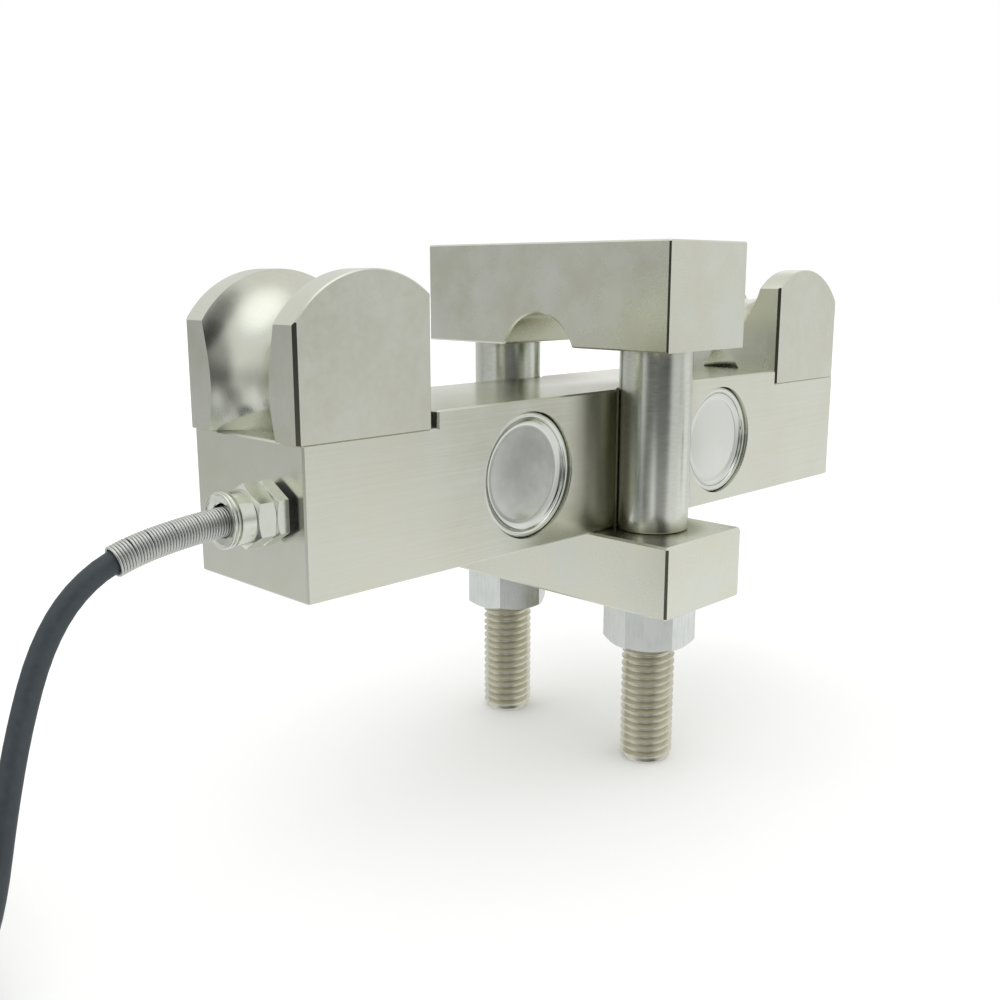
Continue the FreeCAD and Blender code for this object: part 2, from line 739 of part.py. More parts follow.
def ring_of(name, spare):
    """The coil's closed ring, grown all round by spare."""
    across = f"(coil_turns_across * 2 * cable_radius + 2 * {spare})"
    high = f"(coil_turns_high * 2 * cable_radius + 2 * {spare})"
    outer = primitive("Cylinder", name + "_outer", Radius=f"coil_radius + {across} / 2", Height=high)
    inner = primitive("Cylinder", name + "_inner", Radius=f"coil_radius - {across} / 2", Height=high)
    return cut(name, outer, inner)


def cable_coil():
    """The put-away length as one closed ring, the tie round it, and the stripped end."""
    reach, aside = (round(last - first, 3) for first, last in list(zip(CABLE_ROUTE[0], CABLE_ROUTE[-1]))[:2])
    edge = "(coil_radius + coil_turns_across * cable_radius)"
    centre_x = f"(-beam_length / 2 - cable_start + ({reach}) + cable_radius - {edge})"
    centre_y = (f"(-gland_offset + ({aside}) + sqrt({edge} ^ 2 - ({edge} - 2 * cable_radius) ^ 2)"
                " + coil_clearance)")
    low = coil_low()
    ring = ring_of("coil_ring", "0")
    doc.recompute()
    eased = doc.addObject("Part::Chamfer", "cable_coil")
    eased.Base = ring
    size = number("(2 - sqrt(2)) * cable_radius")
    eased.Edges = [(int(name[4:]), size, size)
                   for name in edges_where(ring.Shape, lambda box, edge: box.ZLength < 1e-4)]
    place(kept("cable_coil", eased), along=centre_x, across=centre_y, up=low)

    across = "(coil_turns_across * 2 * cable_radius + 2 * tie_thickness)"
    block = primitive("Box", "tie_block", Length=f"{across} + 2 * tie_fit", Width="tie_width",
                      Height="coil_turns_high * 2 * cable_radius + 2 * tie_thickness")
    place(block, along=f"-coil_radius - {across} / 2 - tie_fit", across="-tie_width / 2", up="-tie_thickness")
    room = place(ring_of("tie_room", "tie_fit"), up="-tie_fit")
    place(kept("cable_tie", cut("cable_tie", block, room)), along=centre_x, across=centre_y, up=low)

    free_x = f"{centre_x} - sleeve_offset"
    free_y = f"{centre_y} + coil_radius - cable_radius"
    free_z = f"{low} + (coil_turns_high * 2 * cable_radius) + end_sleeve_radius"
    sleeve = primitive("Cylinder", "end_sleeve", Radius="end_sleeve_radius", Height="end_sleeve_length")
    place(kept("end_sleeve", sleeve), along=free_x, across=free_y, up=free_z, turn=((0, 1, 0), -90))
    leads = []
    for index in range(4):
        lead = primitive("Cylinder", f"lead_{index + 1}", Radius="lead_radius", Height="lead_length")
        side, rise = (1, -1)[index % 2], (1, -1)[index // 2]
        place(lead, along=f"{free_x} - end_sleeve_length", across=f"{free_y} + {side} * 1.1 * lead_radius",
              up=f"{free_z} + {rise} * 1.1 * lead_radius", turn=((0, 1, 0), -90))
        leads.append(lead)
    group = doc.addObject("Part::Compound", "bare_leads")
    group.Links = leads
    kept("bare_leads", group)


def check_and_write():
    doc.recompute()
    for thing in doc.Objects:
        if "Invalid" in thing.State or "Error" in thing.State:
            raise ValueError(f"{thing.Name} failed: {thing.State}")
    os.makedirs("parts", exist_ok=True)
    for name, thing in parts.items():
        if thing.Shape.isNull() or not thing.Shape.isValid():
            raise ValueError(f"{name} has no valid shape")
        thing.Shape.exportStep(f"parts/{name}.step")
        box = thing.Shape.BoundBox
        print(f"{name:22s} {len(thing.Shape.Solids)} solid(s) {thing.Shape.Volume:10.1f} mm3"
              f"  x {box.XMin:8.2f} {box.XMax:8.2f}  y {box.YMin:7.2f} {box.YMax:7.2f}"
              f"  z {box.ZMin:7.2f} {box.ZMax:7.2f}")


load_beam()
for ending, hand in (("left", -1), ("right", 1)):
    saddle("saddle_" + ending, hand)
    saddle_screws("saddle_screws_" + ending, hand)
clamp_block()
clamp_bar()
for ending, hand in (("front", -1), ("rear", 1)):
    clamp_rod("clamp_rod_" + ending, hand)
    hex_nut("nut_" + ending, hand, "nut_turn_" + ending)
    for place_word, along in (("left", -1), ("right", 1)):
        gauge_cover(f"cover_{ending}_{place_word}", along, hand)
        strain_gauge(f"gauge_{ending}_{place_word}", along, hand)
terminal_board()
bridge_wires()
gland()
gland_cap()
cord_pieces()
cable_coil()
check_and_write()
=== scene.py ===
import math
import bpy
import bmesh
from mathutils import Matrix, Vector


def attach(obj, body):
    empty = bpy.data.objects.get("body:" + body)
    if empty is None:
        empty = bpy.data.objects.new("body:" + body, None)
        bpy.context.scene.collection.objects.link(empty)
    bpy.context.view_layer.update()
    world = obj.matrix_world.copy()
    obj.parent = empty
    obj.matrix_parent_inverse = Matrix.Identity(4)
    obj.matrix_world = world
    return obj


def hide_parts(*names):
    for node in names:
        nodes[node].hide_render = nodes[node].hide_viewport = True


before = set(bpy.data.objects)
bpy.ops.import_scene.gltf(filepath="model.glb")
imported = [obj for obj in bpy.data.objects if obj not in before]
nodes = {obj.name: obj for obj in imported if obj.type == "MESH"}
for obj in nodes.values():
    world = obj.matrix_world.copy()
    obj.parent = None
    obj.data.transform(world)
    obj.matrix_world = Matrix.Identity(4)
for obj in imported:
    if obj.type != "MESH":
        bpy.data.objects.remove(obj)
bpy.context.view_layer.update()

underside = -36.7  # of the beam, in mm; the heights below are counted from it


def at(x, y, height):
    # a place given in mm, with its height over the beam's underside, as metres in the frame
    return Vector((x, y, height + underside)) / 1000


# Camera, studio and floor
camera = {"place": (-196.14, -166.82, 55.64), "yaw": 0.7749, "pitch": 0.2024, "lens": 39.6, "sensor": 36,
          "nearest": 0.01}
studio = {
    "base": 0.60,
    "backdrop": 1.0,
    "fill": 1.35,
    "least": 0.02,
    # direction of a soft patch, its inner and outer half angle in degrees, and the light it adds
    "patches": [
        ((0, 0, -1), 66, 92, 0.26),
        ((0, 0, 1), 66, 88, 0.24),
        ((0, 0, 1), 6, 40, 0.55),
        ((0.84, -0.54, 0.0), 6, 30, 0.20),
        ((0.80, 0.56, 0.16), 6, 26, 0.24),
        ((-0.69, 0.72, -0.05), 12, 46, -0.10),
        ((-0.53, 0.83, -0.14), 5, 15, -0.07),
        ((-0.74, 0.61, -0.27), 4, 14, 0.16),
        ((-0.69, -0.72, 0.0), 31, 47, -0.48),
        ((-0.77, -0.57, -0.31), 3, 12, 0.5),
        ((-0.93, -0.03, -0.38), 5, 18, -0.5),
        ((-0.20, -0.81, 0.54), 10, 27, -0.62),
        ((0.61, -0.75, -0.27), 5, 16, 0.08),
        ((0.60, -0.80, -0.02), 3, 11, -0.16),
        ((0.73, -0.67, -0.17), 2, 7, -0.55),
    ],
}
floor = {"height": -54.71, "size": 8.0, "colour": (0.94, 0.94, 0.93, 1), "rough": 0.9}


def addCamera():
    data = bpy.data.cameras.new("camera")
    data.lens = camera["lens"]
    data.sensor_width = camera["sensor"]
    data.clip_start = camera["nearest"]
    obj = bpy.data.objects.new("camera", data)
    yaw, pitch = camera["yaw"], camera["pitch"]
    look = Vector((math.cos(pitch) * math.cos(yaw), math.cos(pitch) * math.sin(yaw), -math.sin(pitch)))
    obj.location = at(*camera["place"])
    obj.rotation_euler = look.to_track_quat("-Z", "Y").to_euler()
    bpy.context.scene.collection.objects.link(obj)
    bpy.context.scene.camera = obj


def addStudio():
    world = bpy.data.worlds.new("studio")
    bpy.context.scene.world = world
    world.use_nodes = True
    make, link = world.node_tree.nodes.new, world.node_tree.links.new
    world.node_tree.nodes.clear()
    coord = make("ShaderNodeTexCoord")
    total = None
    for direction, inner, outer, amount in studio["patches"]:
        dot = make("ShaderNodeVectorMath")
        dot.operation = "DOT_PRODUCT"
        dot.inputs[1].default_value = Vector(direction).normalized()
        link(coord.outputs["Generated"], dot.inputs[0])
        patch = make("ShaderNodeMapRange")
        patch.interpolation_type = "SMOOTHSTEP"
        patch.inputs["From Min"].default_value = math.cos(math.radians(outer))
        patch.inputs["From Max"].default_value = math.cos(math.radians(inner))
        patch.inputs["To Max"].default_value = amount
        link(dot.outputs["Value"], patch.inputs["Value"])
        add = make("ShaderNodeMath")
        add.inputs[0].default_value = studio["base"]
        if total:
            link(total, add.inputs[0])
        link(patch.outputs["Result"], add.inputs[1])
        total = add.outputs[0]
    path, out = make("ShaderNodeLightPath"), make("ShaderNodeOutputWorld")
    seen, least = make("ShaderNodeBackground"), make("ShaderNodeMath")
    least.operation = "MAXIMUM"
    least.inputs[1].default_value = studio["least"]
    link(total, least.inputs[0])
    link(least.outputs[0], seen.inputs["Color"])
    last = seen
    for ray, strength in (("Is Diffuse Ray", studio["fill"]), ("Is Camera Ray", studio["backdrop"])):
        plain, mix = make("ShaderNodeBackground"), make("ShaderNodeMixShader")
        plain.inputs["Color"].default_value = (1, 1, 1, 1)
        plain.inputs["Strength"].default_value = strength
        link(path.outputs[ray], mix.inputs[0])
        link(last.outputs[0], mix.inputs[1])
        link(plain.outputs[0], mix.inputs[2])
        last = mix
    link(last.outputs[0], out.inputs[0])
    bpy.context.scene.view_settings.view_transform = "Standard"


def addFloor():
    bm = bmesh.new()
    halfSize = floor["size"] * 1000 / 2
    bmesh.ops.create_grid(bm, x_segments=1, y_segments=1, size=halfSize)
    bmesh.ops.translate(bm, verts=bm.verts, vec=(0, 0, floor["height"]))
    obj = toObject(bm, "floor", newMaterial("floorPaint", floor["colour"], floor["rough"], 0)[0])
    obj.visible_glossy = False


# Meshes are shaped in mm, heights over the beam's underside, and become metres here
def toObject(bm, name, material, sharpAngle=32):
    bmesh.ops.translate(bm, verts=bm.verts, vec=(0, 0, underside))
    bmesh.ops.scale(bm, verts=bm.verts, vec=(0.001, 0.001, 0.001))
    mesh = bpy.data.meshes.new(name)
    bm.to_mesh(mesh)
    bm.free()
    mesh.shade_smooth()
    mesh.set_sharp_from_angle(angle=math.radians(sharpAngle))
    mesh.materials.append(material)
    obj = bpy.data.objects.new(name, mesh)
    bpy.context.scene.collection.objects.link(obj)
    return obj


def standIn(obj, *replaced):
    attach(obj, "root")
    if replaced:
        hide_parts(*replaced)
    return obj


def joinInto(bm, part):
    mesh = bpy.data.meshes.new("part")
    part.to_mesh(mesh)
    part.free()
    bm.from_mesh(mesh)
    bpy.data.meshes.remove(mesh)


def move(bm, turn=None, place=(0, 0, 0)):
    # turn is (degrees, axis)
    if turn:
        degrees, axis = turn
        matrix = Matrix.Rotation(math.radians(degrees), 3, axis)
        bmesh.ops.rotate(bm, verts=bm.verts, cent=(0, 0, 0), matrix=matrix)
    bmesh.ops.translate(bm, verts=bm.verts, vec=place)


def lathe(profile, steps=96, closed=False):
    # spins (radius, height) points about Z; a profile that isn't closed ends on the axis
    bm = bmesh.new()
    verts = [bm.verts.new((radius, 0, height)) for radius, height in profile]
    pairs = list(zip(verts, verts[1:])) + ([(verts[-1], verts[0])] if closed else [])
    edges = [bm.edges.new(pair) for pair in pairs]
    bmesh.ops.spin(bm, geom=verts + edges, cent=(0, 0, 0), axis=(0, 0, 1), angle=math.tau, steps=steps,
                   use_merge=True)
    bmesh.ops.remove_doubles(bm, verts=bm.verts, dist=1e-5)
    bmesh.ops.recalc_face_normals(bm, faces=bm.faces)
    return bm


def roundCorner(centre, radius, start, end, count=6):
    # points on an arc, angles in degrees
    return [(centre[0] + radius * math.cos(math.radians(start + (end - start) * i / count)),
             centre[1] + radius * math.sin(math.radians(start + (end - start) * i / count)))
            for i in range(count + 1)]


def screwThread(low, high, crest, pitch, point, steps=60):
    # one pitch's profile over and over, spun a full turn while it rises one pitch, then cut to length
    root, rootRound, crestRound = crest - 0.6 * pitch, 0.03, 0.02
    # share of the pitch, and the radius there
    shape = [(0, root), (0.13, root + rootRound), (0.42, crest - crestRound), (0.5, crest),
             (0.58, crest - crestRound), (0.87, root + rootRound)]
    bm = bmesh.new()
    spare = 2  # turns that start below the low end, to be cut off
    turns = int((high - low) / pitch) + spare + 1
    verts = [bm.verts.new((radius, 0, low + (turn - spare + rise) * pitch))
             for turn in range(turns) for rise, radius in shape]
    edges = [bm.edges.new(pair) for pair in zip(verts, verts[1:])]
    bmesh.ops.spin(bm, geom=verts + edges, cent=(0, 0, 0), axis=(0, 0, 1), dvec=(0, 0, pitch / steps),
                   angle=math.tau, steps=steps, use_merge=False)
    bmesh.ops.remove_doubles(bm, verts=bm.verts, dist=1e-4)
    for height, up in ((low, -1), (high, 1)):
        everything = list(bm.verts) + list(bm.edges) + list(bm.faces)
        bmesh.ops.bisect_plane(bm, geom=everything, plane_co=(0, 0, height), plane_no=(0, 0, up),
                               clear_outer=True)
    for vert in bm.verts:
        radius = math.hypot(vert.co.x, vert.co.y)
        most = crest - point + (vert.co.z - low)
        if radius > most:
            vert.co.x, vert.co.y = vert.co.x * most / radius, vert.co.y * most / radius
    bmesh.ops.holes_fill(bm, edges=[edge for edge in bm.edges if edge.is_boundary], sides=0)
    bmesh.ops.recalc_face_normals(bm, faces=bm.faces)
    return bm


def hexBlank(flats, length, face, bore, both=True, sides=96):
    # rings from the bore out over the face, the chamfer and down the flats, and back at the other end
    def ring(bm, radiusAt, heightAt):
        made = bmesh.ops.create_circle(bm, segments=sides, radius=1)["verts"]
        for index, vert in enumerate(made):
            angle = math.tau * index / sides
            radius = radiusAt(angle)
            vert.co = (radius * math.cos(angle), radius * math.sin(angle), heightAt(radius))
        return [edge for edge in bm.edges if edge.verts[0] in made and edge.verts[1] in made]

    def outside(angle):
        return flats / 2 / math.cos((angle + math.tau / 12) % (math.tau / 6) - math.tau / 12)

    def drop(radius):
        return max(0, radius - face) / math.sqrt(3)

    bm = bmesh.new()
    low = drop if both else (lambda radius: 0)
    rings = [
        ring(bm, lambda a: bore, lambda r: length), ring(bm, lambda a: min(face, outside(a)), lambda r: length),
        ring(bm, outside, lambda r: length - drop(r)), ring(bm, outside, low),
        ring(bm, lambda a: min(face, outside(a)), lambda r: 0), ring(bm, lambda a: bore, lambda r: 0),
    ]
    for first, second in zip(rings, rings[1:] + rings[:1]):
        bmesh.ops.bridge_loops(bm, edges=first + second)
    bmesh.ops.remove_doubles(bm, verts=bm.verts, dist=1e-5)
    bmesh.ops.recalc_face_normals(bm, faces=bm.faces)
    return bm


# Shared effects
def newGroup(name, inputs, outputs):
    group = bpy.data.node_groups.new(name, "ShaderNodeTree")
    for word, kind, value in inputs:
        socket = group.interface.new_socket(word, in_out="INPUT", socket_type="NodeSocket" + kind)
        if value is not None:
            socket.default_value = value
    for word, kind in outputs:
        group.interface.new_socket(word, in_out="OUTPUT", socket_type="NodeSocket" + kind)
    return group, group.nodes.new("NodeGroupInput"), group.nodes.new("NodeGroupOutput")


def makeCloud():
    # soft patches, from 0 to 1
    group, given, result = newGroup(
        "cloud",
        [("Vector", "Vector", None), ("Scale", "Float", 80.0), ("Low", "Float", 0.35), ("High", "Float", 0.65)],
        [("Mask", "Float")])
    noise, spread = group.nodes.new("ShaderNodeTexNoise"), group.nodes.new("ShaderNodeMapRange")
    noise.inputs["Detail"].default_value = 4
    noise.inputs["Roughness"].default_value = 0.6
    group.links.new(given.outputs["Vector"], noise.inputs["Vector"])
    group.links.new(given.outputs["Scale"], noise.inputs["Scale"])
    group.links.new(noise.outputs["Fac"], spread.inputs["Value"])
    group.links.new(given.outputs["Low"], spread.inputs["From Min"])
    group.links.new(given.outputs["High"], spread.inputs["From Max"])
    group.links.new(spread.outputs["Result"], result.inputs["Mask"])
    return group


def makeGrain():
    # noise drawn out by Stretch, in cycles per metre along each axis, from 0 to 1
    group, given, result = newGroup(
        "grain", [("Vector", "Vector", None), ("Stretch", "Vector", (100, 1000, 1000))], [("Mask", "Float")])
    stretch, noise = group.nodes.new("ShaderNodeVectorMath"), group.nodes.new("ShaderNodeTexNoise")
    stretch.operation = "MULTIPLY"
    noise.inputs["Scale"].default_value = 1
    noise.inputs["Detail"].default_value = 3
    spread = group.nodes.new("ShaderNodeMapRange")
    spread.inputs["From Min"].default_value = 0.3
    spread.inputs["From Max"].default_value = 0.7
    group.links.new(given.outputs["Vector"], stretch.inputs[0])
    group.links.new(given.outputs["Stretch"], stretch.inputs[1])
    group.links.new(stretch.outputs[0], noise.inputs["Vector"])
    group.links.new(noise.outputs["Fac"], spread.inputs["Value"])
    group.links.new(spread.outputs["Result"], result.inputs["Mask"])
    return group


def makePaintedEdgeReflection():
    # 1 on the chamfered upright edges at a piece's front and rear face; this mask carries a painted dark
    # reflection
    group, given, result = newGroup(
        "paintedEdgeReflection", [("Vector", "Vector", None), ("Normal", "Vector", None)], [("Mask", "Float")])
    masks = []
    # how far the normal turns between two faces, and how far off the middle plane the face is, in metres
    for socket, low, high in (("Normal", 0.40, 0.47), ("Vector", 0.0158, 0.0162)):
        parts, size = group.nodes.new("ShaderNodeSeparateXYZ"), group.nodes.new("ShaderNodeMath")
        group.links.new(given.outputs[socket], parts.inputs[0])
        product = group.nodes.new("ShaderNodeMath")
        product.operation, size.operation = "MULTIPLY", "ABSOLUTE"
        product.inputs[0].default_value = 1
        if socket == "Normal":
            group.links.new(parts.outputs["X"], product.inputs[0])
        group.links.new(parts.outputs["Y"], product.inputs[1])
        group.links.new(product.outputs[0], size.inputs[0])
        spread = group.nodes.new("ShaderNodeMapRange")
        spread.inputs["From Min"].default_value, spread.inputs["From Max"].default_value = low, high
        group.links.new(size.outputs[0], spread.inputs["Value"])
        masks.append(spread.outputs["Result"])
    both = group.nodes.new("ShaderNodeMath")
    both.operation = "MULTIPLY"
    for index, mask in enumerate(masks):
        group.links.new(mask, both.inputs[index])
    group.links.new(both.outputs[0], result.inputs["Mask"])
    return group


def makePaintedRodShade():
    # 1 beside the two rods, and 0 from Reach metres off their axes; this mask carries a painted shade and
    # painted reflection of the rods
    group, given, result = newGroup(
        "paintedRodShade", [("Vector", "Vector", None), ("Reach", "Float", 0.028)], [("Mask", "Float")])
    parts, size, offset, across, run, spread = (group.nodes.new("ShaderNode" + kind) for kind in (
        "SeparateXYZ", "Math", "Math", "CombineXYZ", "VectorMath", "MapRange"))
    size.operation, offset.operation, run.operation = "ABSOLUTE", "SUBTRACT", "LENGTH"
    rodOffset, darkest = 0.0225, 0.0085  # metres from the middle plane to a rod's axis, and off that axis
    offset.inputs[1].default_value = rodOffset
    spread.interpolation_type = "SMOOTHSTEP"
    spread.inputs["From Max"].default_value = darkest
    group.links.new(given.outputs["Vector"], parts.inputs[0])
    group.links.new(parts.outputs["Y"], size.inputs[0])
    group.links.new(size.outputs[0], offset.inputs[0])
    group.links.new(parts.outputs["X"], across.inputs["X"])
    group.links.new(offset.outputs[0], across.inputs["Y"])
    group.links.new(across.outputs[0], run.inputs[0])
    group.links.new(run.outputs["Value"], spread.inputs["Value"])
    group.links.new(given.outputs["Reach"], spread.inputs["From Min"])
    group.links.new(spread.outputs["Result"], result.inputs["Mask"])
    return group


def newMaterial(name, colour, roughness, metallic):
    material = bpy.data.materials.new(name)
    material.use_nodes = True
    shader = material.node_tree.nodes["Principled BSDF"]
    shader.inputs["Base Color"].default_value = colour
    shader.inputs["Roughness"].default_value = roughness
    shader.inputs["Metallic"].default_value = metallic
    return material, material.node_tree.nodes.new, material.node_tree.links.new, shader


def surface(name, look):
    # grain and cloud both shade the colour and the roughness, and the grain also raises the surface
    material, make, link, shader = newMaterial(name, look["light"], look["rough"][0], look["metallic"])
    coord = make("ShaderNodeTexCoord")
    masks = []
    for group, values in ((grainGroup, {"Stretch": look["grain"]}), (cloudGroup, look["cloud"])):
        node = make("ShaderNodeGroup")
        node.node_tree = group
        link(coord.outputs["Object"], node.inputs["Vector"])
        for word, value in values.items():
            node.inputs[word].default_value = value
        masks.append(node.outputs["Mask"])
    blend = make("ShaderNodeMix")
    blend.inputs["Factor"].default_value = look["share"]
    link(masks[0], blend.inputs["A"])
    link(masks[1], blend.inputs["B"])
    tint = make("ShaderNodeMix")
    tint.data_type = "RGBA"
    tint.inputs["A"].default_value = look["dark"]
    tint.inputs["B"].default_value = look["light"]
    link(blend.outputs["Result"], tint.inputs["Factor"])
    colour = tint.outputs["Result"]
    # painted shade and painted reflection: darker tints are multiplied into the colour where a look asks for
    # them
    for group, word, paintedTint in paintedShading:
        if word not in look:
            continue
        mask, shade = make("ShaderNodeGroup"), make("ShaderNodeMix")
        mask.node_tree = group
        link(coord.outputs["Object"], mask.inputs["Vector"])
        # the edge mask is a painted dark reflection on the upright chamfers
        if word == "edge":
            link(coord.outputs["Normal"], mask.inputs["Normal"])
        else:
            mask.inputs["Reach"].default_value = look["reach"]
        shade.data_type, shade.blend_type = "RGBA", "MULTIPLY"
        shade.inputs["B"].default_value = paintedTint
        link(mask.outputs["Mask"], shade.inputs["Factor"])
        link(colour, shade.inputs["A"])
        colour = shade.outputs["Result"]
    link(colour, shader.inputs["Base Color"])
    rough = make("ShaderNodeMapRange")
    rough.inputs["To Min"].default_value, rough.inputs["To Max"].default_value = look["rough"]
    link(blend.outputs["Result"], rough.inputs["Value"])
    link(rough.outputs["Result"], shader.inputs["Roughness"])
    bump = make("ShaderNodeBump")
    bump.inputs["Strength"].default_value = look["bump"]
    bump.inputs["Distance"].default_value = grainHeight
    link(masks[0], bump.inputs["Height"])
    link(bump.outputs["Normal"], shader.inputs["Normal"])
    if "across" in look:
        # machining marks blur a reflection across themselves
        across = make("ShaderNodeCombineXYZ")
        for index, value in enumerate(look["across"]):
            across.inputs[index].default_value = value
        link(across.outputs["Vector"], shader.inputs["Tangent"])
        shader.inputs["Anisotropic"].default_value = look["blur"]
    return material


def grey(value):
    return (value, value, value, 1)


def nickel(value):
    # bright nickel is a little yellow-green
    return (value * 0.972, value, value * 0.9, 1)


def dull(value):
    # the same nickel where it is thin or handled is warmer
    return (value * 0.995, value, value * 0.83, 1)


# a look's edge entry asks for a painted dark reflection on the upright chamfers, and its reach entry for a
# painted shade beside the rods
looks = {
    "beamSteel": {"light": nickel(0.76), "dark": dull(0.69), "rough": (0.21, 0.27), "metallic": 1,
                  "grain": (40, 4200, 4200), "cloud": {"Scale": 60.0}, "share": 0.55, "bump": 0.05,
                  "across": (0.02, 0.3, 1), "blur": 0.5, "reach": 0.026},
    "saddleSteel": {"light": nickel(0.74), "dark": dull(0.66), "rough": (0.2, 0.28), "metallic": 1,
                    "grain": (700, 3800, 700), "cloud": {"Scale": 90.0}, "share": 0.7, "bump": 0.05,
                    "across": (0.1, 1, 0.15), "blur": 0.4, "edge": 1},
    "blockSteel": {"light": nickel(0.77), "dark": dull(0.68), "rough": (0.22, 0.32), "metallic": 1,
                   "grain": (300, 900, 1500), "cloud": {"Scale": 75.0}, "share": 0.9, "bump": 0.0, "edge": 1},
    "barSteel": {"light": nickel(0.81), "dark": dull(0.73), "rough": (0.22, 0.32), "metallic": 1,
                 "grain": (300, 900, 1500), "cloud": {"Scale": 75.0}, "share": 0.9, "bump": 0.0,
                 "edge": 1, "reach": 0.0135},
    "rodSteel": {"light": nickel(0.79), "dark": nickel(0.68), "rough": (0.19, 0.27), "metallic": 1,
                 "grain": (500, 500, 4600), "cloud": {"Scale": 220.0}, "share": 0.35, "bump": 0.2,
                 "across": (0.02, 0.03, 1), "blur": 0.35},
    "studNickel": {"light": (0.80, 0.79, 0.67, 1), "dark": (0.64, 0.62, 0.50, 1), "rough": (0.3, 0.42),
                   "metallic": 1, "grain": (700, 700, 700), "cloud": {"Scale": 250.0}, "share": 0.6,
                   "bump": 0.1},
    "coverSteel": {"light": (0.75, 0.77, 0.72, 1), "dark": (0.70, 0.72, 0.67, 1), "rough": (0.1, 0.17),
                   "metallic": 1, "grain": (600, 600, 600), "cloud": {"Scale": 120.0}, "share": 0.8,
                   "bump": 0.03},
    "nutZinc": {"light": (0.82, 0.85, 0.81, 1), "dark": (0.62, 0.65, 0.63, 1), "rough": (0.16, 0.3),
                "metallic": 1, "grain": (1700, 1700, 150), "cloud": {"Scale": 260.0}, "share": 0.45,
                "bump": 0.12},
    "glandNickel": {"light": nickel(0.78), "dark": nickel(0.70), "rough": (0.14, 0.22), "metallic": 1,
                    "grain": (900, 900, 900), "cloud": {"Scale": 400.0}, "share": 0.5, "bump": 0.08},
    "springSteel": {"light": (0.72, 0.74, 0.70, 1), "dark": (0.6, 0.62, 0.6, 1), "rough": (0.38, 0.46),
                    "metallic": 1, "grain": (500, 500, 500), "cloud": {"Scale": 200.0}, "share": 0.5,
                    "bump": 0.1},
    "screwBlack": {"light": grey(0.06), "dark": grey(0.03), "rough": (0.35, 0.5), "metallic": 0.6,
                   "grain": (900, 900, 900), "cloud": {"Scale": 300.0}, "share": 0.5, "bump": 0.2},
    "sealRubber": {"light": grey(0.02), "dark": grey(0.01), "rough": (0.5, 0.7), "metallic": 0,
                   "grain": (900, 900, 900), "cloud": {"Scale": 300.0}, "share": 0.5, "bump": 0.3},
    "cableJacket": {"light": (0.034, 0.046, 0.053, 1), "dark": (0.022, 0.030, 0.037, 1), "rough": (0.42, 0.58),
                    "metallic": 0, "grain": (900, 900, 900), "cloud": {"Scale": 150.0}, "share": 0.5,
                    "bump": 0.3},
    "tieNylon": {"light": grey(0.03), "dark": grey(0.02), "rough": (0.35, 0.45), "metallic": 0,
                 "grain": (400, 400, 400), "cloud": {"Scale": 200.0}, "share": 0.5, "bump": 0.1},
    "gaugeFoil": {"light": (0.62, 0.42, 0.12, 1), "dark": (0.5, 0.3, 0.08, 1), "rough": (0.3, 0.4),
                  "metallic": 0, "grain": (100, 3000, 3000), "cloud": {"Scale": 300.0}, "share": 0.3,
                  "bump": 0.2},
    "boardLaminate": {"light": (0.05, 0.24, 0.11, 1), "dark": (0.03, 0.18, 0.08, 1), "rough": (0.3, 0.4),
                      "metallic": 0, "grain": (2500, 2500, 2500), "cloud": {"Scale": 300.0}, "share": 0.3,
                      "bump": 0.2},
    "redCore": {"light": (0.55, 0.04, 0.03, 1), "dark": (0.45, 0.03, 0.02, 1), "rough": (0.35, 0.45),
                "metallic": 0, "grain": (900, 900, 900), "cloud": {"Scale": 300.0}, "share": 0.5, "bump": 0.1},
    "greenCore": {"light": (0.04, 0.32, 0.08, 1), "dark": (0.03, 0.25, 0.06, 1), "rough": (0.35, 0.45),
                  "metallic": 0, "grain": (900, 900, 900), "cloud": {"Scale": 300.0}, "share": 0.5,
                  "bump": 0.1},
    "blackCore": {"light": grey(0.03), "dark": grey(0.02), "rough": (0.35, 0.45), "metallic": 0,
                  "grain": (900, 900, 900), "cloud": {"Scale": 300.0}, "share": 0.5, "bump": 0.1},
    "whiteCore": {"light": grey(0.8), "dark": grey(0.7), "rough": (0.35, 0.45), "metallic": 0,
                  "grain": (900, 900, 900), "cloud": {"Scale": 300.0}, "share": 0.5, "bump": 0.1},
    "tinnedCopper": {"light": grey(0.75), "dark": grey(0.6), "rough": (0.2, 0.35), "metallic": 1,
                     "grain": (900, 900, 900), "cloud": {"Scale": 300.0}, "share": 0.5, "bump": 0.2},
}
grainHeight = 0.00001  # in metres
grainGroup, cloudGroup = makeGrain(), makeCloud()
# each painted shade's group, the word in a look that asks for it, and its painted tint
paintedShading = (
    # painted reflection: the upright chamfers' colour is darkened to a dark grey, as if they mirrored the dark
    # studio
    (makePaintedEdgeReflection(), "edge", (0.28, 0.28, 0.26, 1)),
    # painted shade and painted reflection: the beam and bar are darkened to a warm grey beside the rods
    (makePaintedRodShade(), "reach", (0.46, 0.44, 0.37, 1)),
)
finishes = {name: surface(name, look) for name, look in looks.items()}

addCamera()
addStudio()
addFloor()
print("camera, studio and floor: done")

